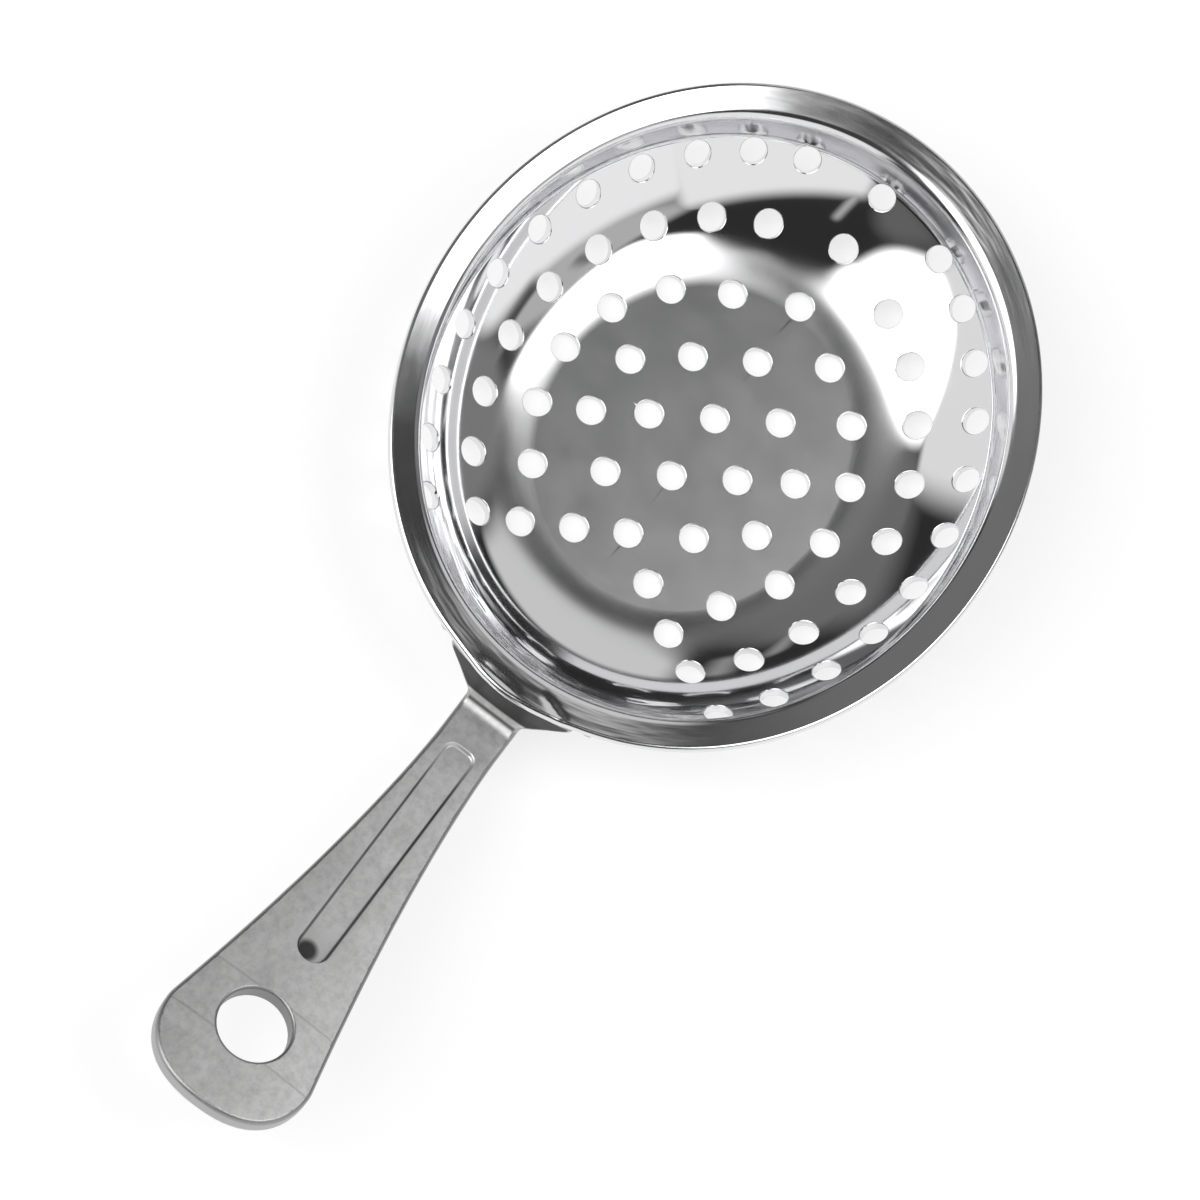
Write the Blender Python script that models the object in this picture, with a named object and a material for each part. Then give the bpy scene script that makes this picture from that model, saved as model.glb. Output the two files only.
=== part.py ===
"""Julep strainer: a drawn, perforated oval bowl and a stamped handle welded under its rim.

Metres, +Z up. The origin is under the middle of the bowl, on its flat underside.
+X runs from the handle towards the far rim, and the object mirrors across the XZ plane.
"""
import math

import bmesh
import bpy
from mathutils import Matrix, Vector

MM = 0.001

# Bowl, measured over the rim and across the sheet.
BOWL_LENGTH = 96.4 * MM
BOWL_WIDTH = 82.6 * MM
BOWL_DEPTH = 16.5 * MM
SHEET = 1.2 * MM
KNUCKLE_RADIUS = 16.0 * MM
STEEPEST_WALL = math.radians(80.0)
LIP_RADIUS = 2.5 * MM
FLANGE_WIDTH = 3.0 * MM
FLANGE_SLOPE = math.radians(10.0)
RIM_EDGE_ROUND = 0.3 * MM

# Where the rim is squeezed out over the handle's head, and how far past the head it reaches.
PRESSED_OUT = 0.6 * MM
PRESSED_BEYOND = 1.3 * MM

# Punched holes: a core of short rows, nested rings that stay open towards the handle,
# and two more along each edge of that opening. The pattern spreads with the bowl, so its
# places are shares of the bowl's half length and half width.
HOLE_DIAMETER = 4.05 * MM
WALL_HOLE_STRETCH = 0.12
STEEPEST_STRETCH = 1.5
CORE_ROWS = (
    dict(across=0.0, count=4, pitch=0.2095),
    dict(across=0.1768, count=3, pitch=0.2116),
    dict(across=0.3317, count=2, pitch=0.1888),
)
INNER_RING = dict(tip=0.5207, along=0.4647, across=0.5206, first=22.2, step=22.3, count=6)
MIDDLE_RING = dict(tip=0.7137, along=0.6888, across=0.6840, first=20.7, step=15.15, count=9)
OUTER_RING = dict(tip=0.8589, along=0.8610, across=0.8281, first=18.7, step=11.8, count=11)
WEDGE_STEP = (-0.0820, 0.1477)
WEDGE_HOLES = 2

# Handle: a plate with a pressed groove, folded up at its inner end into a T-shaped head.
PLATE = 3.0 * MM
FOLD_RADIUS = 1.7 * MM
HANDLE_RISE = math.radians(10.2)
HANDLE_LENGTH = 68.1 * MM
NECK_HALF_WIDTH = 4.15 * MM
NECK_LENGTH = 5.0 * MM
END_HALF_WIDTH = 11.0 * MM
END_REACH = 9.85 * MM
FLARE_POWER = 1.6
END_POWER = 2.3
HEAD_HALF_WIDTH = 9.7 * MM
HEAD_HEIGHT = 7.28 * MM
HEAD_SETBACK = 1.03 * MM
HEAD_END_HEIGHT = 1.4 * MM
HEAD_WRAP = 0.6
WING_POWER = 1.1
PLATE_EDGE_ROUND = 0.45 * MM
TIP_EASE = 3.0
HANGING_HOLE_DIAMETER = 9.75 * MM
HANGING_HOLE_SETBACK = 12.75 * MM
GROOVE_WIDTH = 4.65 * MM
GROOVE_START = 6.4 * MM
GROOVE_TO_HOLE = 6.475 * MM
GROOVE_SHALLOW = 0.45 * MM
GROOVE_DEEP = 1.25 * MM
GROOVE_WALL = 0.5 * MM
GROOVE_START_ROUND = 0.5

# Welds between the head and the bowl, and the gap that touching pieces keep.
SEAT_GAP = 0.3 * MM
ROOT_WELD_PLACE = 4.4 * MM
ROOT_WELD_LENGTH = 5.0 * MM
ROOT_WELD_HEIGHT = 2.2 * MM
ROOT_WELD_DROP = 1.6 * MM
ROOT_WELD_TAPER = 0.9
TACK_LENGTH = 2.4 * MM
TACK_THICKNESS = 1.5 * MM
TACK_HEIGHT = 1.2 * MM
TACK_SETBACK = 0.4 * MM

# Facets.
RING_SEGMENTS = 68
WALL_STEPS = 11
LIP_STEPS = 4
HOLE_SEGMENTS = 12
HANGING_HOLE_SEGMENTS = 36
GROOVE_STEPS = 12
END_STEPS = 10
WELD_STEPS = 6

# Sizes that follow from those above.
HALF_LENGTH = 0.5 * BOWL_LENGTH
HALF_WIDTH = 0.5 * BOWL_WIDTH
OVAL = BOWL_LENGTH / BOWL_WIDTH
RIM_Z = SHEET + BOWL_DEPTH
RIM_RADIUS = HALF_WIDTH - SHEET * math.sin(FLANGE_SLOPE)
LIP_OUTER_RADIUS = RIM_RADIUS - FLANGE_WIDTH
LIP_OUTER_Z = RIM_Z - FLANGE_WIDTH * math.tan(FLANGE_SLOPE)
LIP_CENTRE_RADIUS = LIP_OUTER_RADIUS + LIP_RADIUS * math.sin(FLANGE_SLOPE)
LIP_CENTRE_Z = LIP_OUTER_Z - LIP_RADIUS * math.cos(FLANGE_SLOPE)
LIP_UNDERSIDE = LIP_OUTER_Z - SHEET / math.cos(FLANGE_SLOPE)
WALL_DROP = LIP_CENTRE_Z + LIP_RADIUS - SHEET
WALL_SLOPE = min(STEEPEST_WALL, math.acos(1.0 - WALL_DROP / (KNUCKLE_RADIUS + LIP_RADIUS)))
LIP_INNER_RADIUS = LIP_CENTRE_RADIUS - LIP_RADIUS * math.sin(WALL_SLOPE)
LIP_INNER_Z = LIP_CENTRE_Z + LIP_RADIUS * math.cos(WALL_SLOPE)
WALL_TOP_Z = SHEET + KNUCKLE_RADIUS * (1.0 - math.cos(WALL_SLOPE))
WALL_TOP_RADIUS = LIP_INNER_RADIUS - (LIP_INNER_Z - WALL_TOP_Z) / math.tan(WALL_SLOPE)
FLOOR_RADIUS = WALL_TOP_RADIUS - KNUCKLE_RADIUS * math.sin(WALL_SLOPE)
PRESSED_HALF_WIDTH = HEAD_HALF_WIDTH + PRESSED_BEYOND
FOLD_X = -(OVAL * LIP_OUTER_RADIUS + SEAT_GAP + PLATE + HEAD_SETBACK)
HEAD_TOP_Z = LIP_UNDERSIDE + 0.5 * PLATE * math.tan(FLANGE_SLOPE) - SEAT_GAP
FOLD_Z = HEAD_TOP_Z - HEAD_HEIGHT
HEAD_LEAN = math.atan(HEAD_SETBACK / HEAD_HEIGHT)
HEAD_REACH = HEAD_HEIGHT / math.cos(HEAD_LEAN)
WING_FOOT = 0.5 * FOLD_RADIUS
END_CENTRE = HANDLE_LENGTH - END_REACH
HANGING_HOLE_PLACE = HANDLE_LENGTH - HANGING_HOLE_SETBACK
GROOVE_END = HANGING_HOLE_PLACE - 0.5 * HANGING_HOLE_DIAMETER - GROOVE_TO_HOLE


def clear_scene():
    for thing in list(bpy.data.objects):
        bpy.data.objects.remove(thing, do_unlink=True)


def make_material(name, colour, roughness):
    material = bpy.data.materials.new(name)
    material.use_nodes = True
    shader = material.node_tree.nodes["Principled BSDF"]
    shader.inputs["Base Color"].default_value = (*colour, 1.0)
    shader.inputs["Metallic"].default_value = 1.0
    shader.inputs["Roughness"].default_value = roughness
    return material


def object_from(bm, name, material=None):
    mesh = bpy.data.meshes.new(name)
    bm.to_mesh(mesh)
    bm.free()
    thing = bpy.data.objects.new(name, mesh)
    bpy.context.collection.objects.link(thing)
    mesh.shade_smooth()
    mesh.set_sharp_from_angle(angle=math.radians(35.0))
    if material:
        mesh.materials.append(material)
    return thing


def hide_cutter(thing):
    thing.hide_render = True
    thing.display_type = "WIRE"


def add_cut(thing, cutter):
    hide_cutter(cutter)
    cut = thing.modifiers.new("cut_" + cutter.name, "BOOLEAN")
    cut.operation = "DIFFERENCE"
    cut.solver = "EXACT"
    cut.object = cutter


def add_edge_round(thing, width, segments):
    rounding = thing.modifiers.new("edge_round", "BEVEL")
    rounding.width = width
    rounding.segments = segments
    rounding.limit_method = "ANGLE"
    rounding.angle_limit = math.radians(60.0)


def smooth_step(value):
    value = min(max(value, 0.0), 1.0)
    return value * value * (3.0 - 2.0 * value)


# --- Bowl -------------------------------------------------------------------------------

def bowl_profile():
    """Radius and height of the bowl's inner skin across its width, from floor to rim."""
    points = [(FLOOR_RADIUS * share, SHEET) for share in (0.35, 0.7, 1.0)]
    for step in range(1, WALL_STEPS + 1):
        slope = WALL_SLOPE * step / WALL_STEPS
        points.append((FLOOR_RADIUS + KNUCKLE_RADIUS * math.sin(slope),
                       SHEET + KNUCKLE_RADIUS * (1.0 - math.cos(slope))))
    if LIP_INNER_Z - WALL_TOP_Z > RIM_EDGE_ROUND:
        points.append((LIP_INNER_RADIUS, LIP_INNER_Z))
    for step in range(1, LIP_STEPS + 1):
        slope = WALL_SLOPE + (FLANGE_SLOPE - WALL_SLOPE) * step / LIP_STEPS
        points.append((LIP_CENTRE_RADIUS - LIP_RADIUS * math.sin(slope),
                       LIP_CENTRE_Z + LIP_RADIUS * math.cos(slope)))
    points.append((0.5 * (LIP_OUTER_RADIUS + RIM_RADIUS), 0.5 * (LIP_OUTER_Z + RIM_Z)))
    points.append((RIM_RADIUS, RIM_Z))
    return points


def bowl_point(radius, height, angle):
    """A point of the inner skin, with the rim squeezed out over the handle's head."""
    x = OVAL * radius * math.cos(angle)
    y = radius * math.sin(angle)
    flange = smooth_step((radius - LIP_OUTER_RADIUS) / FLANGE_WIDTH)
    if x < 0.0 and abs(y) < PRESSED_HALF_WIDTH:
        across = 0.5 + 0.5 * math.cos(math.pi * y / PRESSED_HALF_WIDTH)
        x -= PRESSED_OUT * flange * across
    return Vector((x, y, height))


def skin_frame(x, y):
    """Height, outward normal and steepness of the inner skin at a place in plan."""
    radius = math.hypot(x / OVAL, y)
    run = min(max(radius - FLOOR_RADIUS, 0.0), WALL_TOP_RADIUS - FLOOR_RADIUS)
    fall = math.sqrt(KNUCKLE_RADIUS ** 2 - run ** 2)
    steepness = run / fall
    straight = max(radius - WALL_TOP_RADIUS, 0.0)
    height = SHEET + KNUCKLE_RADIUS - fall + straight * steepness
    gradient = Vector((x / OVAL ** 2, y, 0.0)) * (steepness / max(radius, MM))
    normal = Vector((gradient.x, gradient.y, -1.0)).normalized()
    return height, normal, steepness


def ring_places(ring):
    """Holes of one nested ring on the +Y side, and its hole at the far tip."""
    places = [(ring["tip"], 0.0)]
    for index in range(ring["count"]):
        angle = math.radians(ring["first"] + ring["step"] * index)
        places.append((ring["along"] * math.cos(angle), ring["across"] * math.sin(angle)))
    return places


def hole_places():
    """Every hole's place in plan, laid out on the +Y side and mirrored."""
    half = []
    for row in CORE_ROWS:
        first = -0.5 * (row["count"] - 1) * row["pitch"]
        half += [(first + row["pitch"] * index, row["across"]) for index in range(row["count"])]
    corner = half[0][0]
    for ring in (INNER_RING, MIDDLE_RING, OUTER_RING):
        half += ring_places(ring)
    half += [(corner + WEDGE_STEP[0] * step, WEDGE_STEP[1] * step)
             for step in range(1, WEDGE_HOLES + 1)]
    places = half + [(along, -across) for along, across in half if across > 0.0]
    return [(along * HALF_LENGTH, across * HALF_WIDTH) for along, across in places]


def make_bowl(material):
    bm = bmesh.new()
    centre = bm.verts.new((0.0, 0.0, SHEET))
    rings = []
    for radius, height in bowl_profile():
        ring = []
        for index in range(RING_SEGMENTS):
            angle = 2.0 * math.pi * index / RING_SEGMENTS
            ring.append(bm.verts.new(bowl_point(radius, height, angle)))
        rings.append(ring)
    for index in range(RING_SEGMENTS):
        following = (index + 1) % RING_SEGMENTS
        bm.faces.new((centre, rings[0][index], rings[0][following]))
        for inner, outer in zip(rings, rings[1:]):
            bm.faces.new((inner[index], outer[index], outer[following], inner[following]))
    bowl = object_from(bm, "strainer_bowl", material)
    sheet = bowl.modifiers.new("sheet", "SOLIDIFY")
    sheet.thickness = SHEET
    sheet.offset = -1.0
    sheet.use_even_offset = True
    add_edge_round(bowl, RIM_EDGE_ROUND, 1)
    add_cut(bowl, make_punches())
    return bowl


def make_punches():
    """One prism for each hole, square to the sheet and drawn out where the wall is steep."""
    bm = bmesh.new()
    for x, y in hole_places():
        height, normal, steepness = skin_frame(x, y)
        uphill = Vector((x / OVAL ** 2, y, 0.0))
        if uphill.length < MM:
            uphill = Vector((1.0, 0.0, 0.0))
        uphill.normalize()
        sideways = normal.cross(uphill).normalized()
        uphill = sideways.cross(normal)
        stretch = 1.0 + WALL_HOLE_STRETCH * min(steepness, STEEPEST_STRETCH)
        turn = Matrix((uphill * stretch, sideways, normal)).transposed().to_4x4()
        place = Matrix.Translation(Vector((x, y, height)) + normal * 0.5 * SHEET)
        bmesh.ops.create_cone(
            bm, cap_ends=True, segments=HOLE_SEGMENTS, radius1=0.5 * HOLE_DIAMETER,
            radius2=0.5 * HOLE_DIAMETER, depth=4.0 * SHEET, matrix=place @ turn)
    return object_from(bm, "punches")


# --- Handle -----------------------------------------------------------------------------

def fold_path(distance):
    """A point and the upper skin's normal at a distance from the fold's corner.

    Distances run out along the handle from the corner, and are negative up the head.
    """
    outward = Vector((-math.cos(HANDLE_RISE), 0.0, math.sin(HANDLE_RISE)))
    upward = Vector((math.sin(HEAD_LEAN), 0.0, math.cos(HEAD_LEAN)))
    plate_normal = Vector((math.sin(HANDLE_RISE), 0.0, math.cos(HANDLE_RISE)))
    face_normal = Vector((-math.cos(HEAD_LEAN), 0.0, math.sin(HEAD_LEAN)))
    bend = math.pi - outward.angle(upward)
    setback = FOLD_RADIUS * math.tan(0.5 * bend)
    corner = Vector((FOLD_X, 0.0, FOLD_Z))
    if distance >= setback:
        return corner + outward * distance, plate_normal
    if distance <= -setback:
        return corner - upward * distance, face_normal
    centre = corner + outward * setback + plate_normal * FOLD_RADIUS
    swing = bend * 0.5 * (1.0 - distance / setback)
    normal = Matrix.Rotation(-swing, 3, "Y") @ plate_normal
    return centre - normal * FOLD_RADIUS, normal


def drawn_in(distance, inset):
    """Move a row of the flat pattern inwards where an end edge is rounded off."""
    if distance > END_CENTRE:
        return END_CENTRE + (distance - END_CENTRE) * (END_REACH - inset) / END_REACH
    return max(distance, inset - HEAD_REACH)


def half_width(distance):
    """Half the width of the flat pattern."""
    if distance < 0.0:
        wing_top = HEAD_REACH - HEAD_END_HEIGHT
        share = min(max((-distance - WING_FOOT) / (wing_top - WING_FOOT), 0.0), 1.0)
        return NECK_HALF_WIDTH + (HEAD_HALF_WIDTH - NECK_HALF_WIDTH) * share ** WING_POWER
    if distance <= END_CENTRE:
        share = max((distance - NECK_LENGTH) / (END_CENTRE - NECK_LENGTH), 0.0)
        return NECK_HALF_WIDTH + (END_HALF_WIDTH - NECK_HALF_WIDTH) * share ** FLARE_POWER
    share = min((distance - END_CENTRE) / END_REACH, 1.0)
    return END_HALF_WIDTH * (1.0 - share ** END_POWER) ** (1.0 / END_POWER)


def groove_depth(distance, across):
    """How far the groove is pressed down at a place on the flat pattern."""
    along = (distance - GROOVE_START) / (GROOVE_END - GROOVE_START)
    full = GROOVE_SHALLOW + (GROOVE_DEEP - GROOVE_SHALLOW) * smooth_step(along)
    ends = min(distance - GROOVE_START, GROOVE_END - distance)
    sides = 0.5 * GROOVE_WIDTH - abs(across)
    return full * smooth_step(ends / GROOVE_WALL) * smooth_step(sides / GROOVE_WALL)


def groove_bow(distance, across):
    """How far a row is bent along the plate, so that the groove's ends come out round."""
    half = 0.5 * GROOVE_WIDTH
    offset = min(abs(across) / half, 0.97)
    arc = half * (1.0 - math.sqrt(1.0 - offset ** 2))
    near_start = smooth_step(1.0 - abs(distance - GROOVE_START) / GROOVE_START)
    near_end = smooth_step(1.0 - abs(distance - GROOVE_END) / GROOVE_TO_HOLE)
    return arc * (GROOVE_START_ROUND * near_start - near_end)


def groove_places():
    """Places from the middle of the groove to the top of its wall, and across the wall."""
    half = 0.5 * GROOVE_WIDTH
    foot = half - GROOVE_WALL
    return [foot / 3.0, foot * 2.0 / 3.0, foot, foot + 0.5 * GROOVE_WALL, half]


def stations():
    """Distances along the flat pattern at which the plate's rows of points lie."""
    half = 0.5 * GROOVE_WIDTH
    cap = [half - place for place in groove_places()]
    rows = [-HEAD_REACH]
    rows += spread(-HEAD_REACH + HEAD_END_HEIGHT, -2.0 * WING_FOOT, 5)
    rows += spread(-WING_FOOT, FOLD_RADIUS, 4)
    rows += [NECK_LENGTH] + [GROOVE_START + inset for inset in reversed(cap)]
    rows += spread(GROOVE_START + half, GROOVE_END - half, GROOVE_STEPS + 1)
    rows += [GROOVE_END - inset for inset in cap]
    rows += spread(GROOVE_END, END_CENTRE, 6)[1:]
    for step in range(1, END_STEPS):
        angle = 0.5 * math.pi * step / END_STEPS
        rows.append(END_CENTRE + END_REACH * math.sin(angle) ** (2.0 / END_POWER))
    return rows


def spread(start, end, count):
    return [start + (end - start) * index / (count - 1) for index in range(count)]


def columns(half):
    """Places across the plate: close together over the groove, then out to the edge."""
    shrink = min(half / NECK_HALF_WIDTH, 1.0)
    inner = [place * shrink for place in groove_places()]
    side = inner + [0.5 * (inner[-1] + half), half]
    return [-place for place in reversed(side)] + [0.0] + side


def handle_point(distance, across, depth):
    """A point of the plate, folded, grooved and wrapped round the bowl."""
    place, normal = fold_path(distance + groove_bow(distance, across))
    place = place - normal * depth
    place.y = across
    if distance > 0.0:
        return place - normal * groove_depth(distance, across)
    wrap = -FOLD_X - math.sqrt(FOLD_X ** 2 - (across * OVAL) ** 2)
    place.x += wrap * smooth_step(-distance / (HEAD_WRAP * HEAD_REACH))
    return place


def plate_row(bm, distance, inset, depth):
    """One row of points across the plate at one depth."""
    outline = half_width(distance + groove_bow(distance, END_HALF_WIDTH))
    edge = outline - inset * min(TIP_EASE * outline / END_HALF_WIDTH, 1.0)
    moved = drawn_in(distance, inset)
    return [bm.verts.new(handle_point(moved, across, depth)) for across in columns(edge)]


def plate_skin(bm, inset, depth):
    """The rows of one skin of the plate, and the point at its far tip."""
    rows = [plate_row(bm, distance, inset, depth) for distance in stations()]
    tip = bm.verts.new(handle_point(drawn_in(HANDLE_LENGTH, inset), 0.0, depth))
    return rows, tip


def skin_edge(rows, tip):
    """The points round the outline of a skin, in order."""
    left = [row[0] for row in rows]
    right = [row[-1] for row in reversed(rows)]
    return left + [tip] + right + list(reversed(rows[0][1:-1]))


def fill_skin(bm, rows, tip, facing_up):
    for near, far in zip(rows, rows[1:]):
        for index in range(len(near) - 1):
            corners = [near[index], near[index + 1], far[index + 1], far[index]]
            bm.faces.new(corners if facing_up else reversed(corners))
    last = rows[-1]
    for index in range(len(last) - 1):
        corners = [last[index], last[index + 1], tip]
        bm.faces.new(corners if facing_up else reversed(corners))


def make_handle(material):
    bm = bmesh.new()
    nick = PLATE_EDGE_ROUND * (1.0 - math.sqrt(0.5))
    levels = (
        (PLATE_EDGE_ROUND, 0.0),
        (nick, nick),
        (0.0, PLATE_EDGE_ROUND),
        (0.0, PLATE - PLATE_EDGE_ROUND),
        (nick, PLATE - nick),
        (PLATE_EDGE_ROUND, PLATE),
    )
    edges = []
    for index, (inset, depth) in enumerate(levels):
        rows, tip = plate_skin(bm, inset, depth)
        edge = skin_edge(rows, tip)
        edges.append(edge)
        if index in (0, len(levels) - 1):
            fill_skin(bm, rows, tip, facing_up=(index == 0))
        else:
            kept = set(edge)
            for vert in [vert for row in rows for vert in row if vert not in kept]:
                bm.verts.remove(vert)
    for upper, lower in zip(edges, edges[1:]):
        for index in range(len(upper)):
            following = (index + 1) % len(upper)
            bm.faces.new((upper[index], upper[following], lower[following], lower[index]))
    bmesh.ops.recalc_face_normals(bm, faces=bm.faces[:])
    handle = object_from(bm, "handle", material)
    add_cut(handle, make_hanging_cutter())
    return handle


def make_hanging_cutter():
    """A turned cutter that rounds the hole's edges at both faces of the plate."""
    radius = 0.5 * HANGING_HOLE_DIAMETER
    nick = PLATE_EDGE_ROUND * (1.0 - math.sqrt(0.5))
    mouth = [(radius + PLATE_EDGE_ROUND, PLATE), (radius + PLATE_EDGE_ROUND, 0.5 * PLATE),
             (radius + nick, 0.5 * PLATE - nick), (radius, 0.5 * PLATE - PLATE_EDGE_ROUND)]
    profile = mouth + [(reach, -height) for reach, height in reversed(mouth)]
    place, normal = fold_path(HANGING_HOLE_PLACE)
    spin = Vector((0.0, 0.0, 1.0)).rotation_difference(normal).to_matrix().to_4x4()
    seat = Matrix.Translation(place - normal * 0.5 * PLATE) @ spin
    bm = bmesh.new()
    rings = []
    for reach, height in profile:
        ring = []
        for index in range(HANGING_HOLE_SEGMENTS):
            angle = 2.0 * math.pi * index / HANGING_HOLE_SEGMENTS
            ring.append(bm.verts.new(seat @ Vector(
                (reach * math.cos(angle), reach * math.sin(angle), height))))
        rings.append(ring)
    for upper, lower in zip(rings, rings[1:]):
        for index in range(HANGING_HOLE_SEGMENTS):
            following = (index + 1) % HANGING_HOLE_SEGMENTS
            bm.faces.new((upper[index], lower[index], lower[following], upper[following]))
    bm.faces.new(rings[0])
    bm.faces.new(reversed(rings[-1]))
    return object_from(bm, "hanging_hole")


# --- Welds ------------------------------------------------------------------------------

def bowl_outside_x(y, z):
    """How far towards the handle the bowl's outer wall stands at a width and a height."""
    low, high = FLOOR_RADIUS, LIP_INNER_RADIUS
    for _ in range(40):
        radius = 0.5 * (low + high)
        x = -OVAL * math.sqrt(radius ** 2 - y ** 2)
        height, normal, _ = skin_frame(x, y)
        if height + normal.z * SHEET < z:
            low = radius
        else:
            high = radius
    return x + normal.x * SHEET


def head_inside_x(y, z):
    """The head's inner face, turned to the bowl, at a width and a height."""
    low, high = 0.0, HEAD_REACH
    for _ in range(40):
        distance = 0.5 * (low + high)
        place = handle_point(-distance, y, PLATE)
        if place.z < z:
            low = distance
        else:
            high = distance
    return place.x


def make_root_weld(name, side, material):
    """A bead laid from below in the wedge between the head and the bowl's wall."""
    bm = bmesh.new()
    loops = []
    middle = LIP_UNDERSIDE - ROOT_WELD_DROP - 0.5 * ROOT_WELD_HEIGHT
    for step in range(WELD_STEPS + 1):
        along = 2.0 * step / WELD_STEPS - 1.0
        y = side * ROOT_WELD_PLACE + 0.5 * ROOT_WELD_LENGTH * along
        swell = math.sqrt(1.0 - (ROOT_WELD_TAPER * along) ** 2)
        loop = []
        for height, near_head in ((0.5, True), (0.5, False), (-0.5, False), (-0.5, True)):
            z = middle + height * ROOT_WELD_HEIGHT * swell
            x = head_inside_x(y, z) + SEAT_GAP if near_head else bowl_outside_x(y, z) - SEAT_GAP
            loop.append(bm.verts.new((x, y, z)))
        z = middle - 0.3 * ROOT_WELD_HEIGHT * swell
        x = 0.5 * (head_inside_x(y, z) + bowl_outside_x(y, z))
        loop.insert(3, bm.verts.new((x, y, z)))
        loops.append(loop)
    for near, far in zip(loops, loops[1:]):
        for index in range(len(near)):
            following = (index + 1) % len(near)
            bm.faces.new((near[index], near[following], far[following], far[index]))
    bm.faces.new(loops[0])
    bm.faces.new(loops[-1])
    bmesh.ops.recalc_face_normals(bm, faces=bm.faces[:])
    return object_from(bm, name, material)


def make_tack_weld(name, side, material):
    """A small lump between the end of the head's wing and the underside of the rim."""
    y = side * (HEAD_HALF_WIDTH + SEAT_GAP + 0.5 * TACK_LENGTH)
    rim_edge = -HALF_LENGTH * math.sqrt(1.0 - (y / HALF_WIDTH) ** 2)
    x = rim_edge + TACK_SETBACK + 0.5 * TACK_THICKNESS
    flange_rise = (math.hypot(x / OVAL, y) - LIP_OUTER_RADIUS) * math.tan(FLANGE_SLOPE)
    z = LIP_UNDERSIDE + flange_rise - SEAT_GAP - 0.5 * TACK_HEIGHT
    size = Matrix.Diagonal((TACK_THICKNESS, TACK_LENGTH, TACK_HEIGHT, 1.0))
    bm = bmesh.new()
    bmesh.ops.create_uvsphere(
        bm, u_segments=2 * WELD_STEPS, v_segments=WELD_STEPS + 1, radius=0.5,
        matrix=Matrix.Translation((x, y, z)) @ size)
    return object_from(bm, name, material)


# --- Put together -----------------------------------------------------------------------

clear_scene()
polished = make_material("polished_steel", (0.78, 0.78, 0.79), 0.08)
satin = make_material("satin_steel", (0.62, 0.62, 0.62), 0.38)
weld = make_material("weld_steel", (0.55, 0.54, 0.53), 0.45)
make_bowl(polished)
make_handle(satin)
for side, hand in ((1.0, "left"), (-1.0, "right")):
    make_root_weld("root_weld_" + hand, side, weld)
    make_tack_weld("tack_weld_" + hand, side, weld)
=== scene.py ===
"""Julep strainer, as it looks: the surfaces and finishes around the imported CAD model."""
import math

import bmesh
import bpy
import numpy as np
from mathutils import Matrix, Vector


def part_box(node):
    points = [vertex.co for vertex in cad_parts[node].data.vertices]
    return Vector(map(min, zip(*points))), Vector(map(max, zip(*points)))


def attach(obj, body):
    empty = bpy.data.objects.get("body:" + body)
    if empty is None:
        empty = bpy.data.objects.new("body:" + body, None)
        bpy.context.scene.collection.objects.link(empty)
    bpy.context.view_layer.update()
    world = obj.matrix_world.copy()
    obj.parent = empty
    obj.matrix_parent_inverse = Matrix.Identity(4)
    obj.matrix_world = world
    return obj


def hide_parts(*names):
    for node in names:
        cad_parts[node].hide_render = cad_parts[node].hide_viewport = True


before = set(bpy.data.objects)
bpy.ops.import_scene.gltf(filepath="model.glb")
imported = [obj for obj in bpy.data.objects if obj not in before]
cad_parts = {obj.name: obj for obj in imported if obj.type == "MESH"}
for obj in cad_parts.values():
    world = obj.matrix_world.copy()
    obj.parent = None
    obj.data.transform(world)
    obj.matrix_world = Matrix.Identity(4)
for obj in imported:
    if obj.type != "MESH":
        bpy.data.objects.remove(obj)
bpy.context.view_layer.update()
scene = bpy.context.scene
scene.view_settings.view_transform = "Standard"
MM = 0.001


# --- Camera -----------------------------------------------------------------------------
# A long lens, nearly a metre off, that leans towards the handle and is turned so that the
# handle runs down to the lower left of the frame.

LOOK_AT = Vector((-24.5, -2.34, 0.0)) * MM
CAMERA_DISTANCE = 911.0 * MM
CAMERA_LENS = 208.4
LEAN_TO_HANDLE = math.radians(19.3)
FRAME_TURN = math.radians(52.9)

towards_camera = Vector((-math.sin(LEAN_TO_HANDLE), 0.0, math.cos(LEAN_TO_HANDLE)))
along_handle = Vector((math.cos(LEAN_TO_HANDLE), 0.0, math.sin(LEAN_TO_HANDLE)))
across_handle = Vector((0.0, 1.0, 0.0))
frame_right = math.cos(FRAME_TURN) * along_handle - math.sin(FRAME_TURN) * across_handle
frame_up = math.sin(FRAME_TURN) * along_handle + math.cos(FRAME_TURN) * across_handle
camera = bpy.data.objects.new("camera", bpy.data.cameras.new("camera"))
camera.data.lens = CAMERA_LENS
camera.data.sensor_width = 36.0
camera.data.clip_start = 0.05
camera.location = LOOK_AT + CAMERA_DISTANCE * towards_camera
turned = Matrix((frame_right, frame_up, towards_camera)).transposed()
camera.rotation_euler = turned.to_euler()
scene.collection.objects.link(camera)
scene.camera = camera


# --- Studio -----------------------------------------------------------------------------
# A white table in a dim room with large soft lamps and pale walls round it. Polished steel
# shows the lamps, the walls and the dark between them. Seen from below, the table is clear.

TABLE_SIZE = 6.0
TABLE_DROP = 0.05 * MM
TABLE_COLOUR = 0.80
TABLE_SHOWN_WHITE = 0.50
TABLE_WHITE = 1.32
ROOM_DARK = 0.03
WHITE = (1.0, 1.0, 1.0, 1.0)


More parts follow.
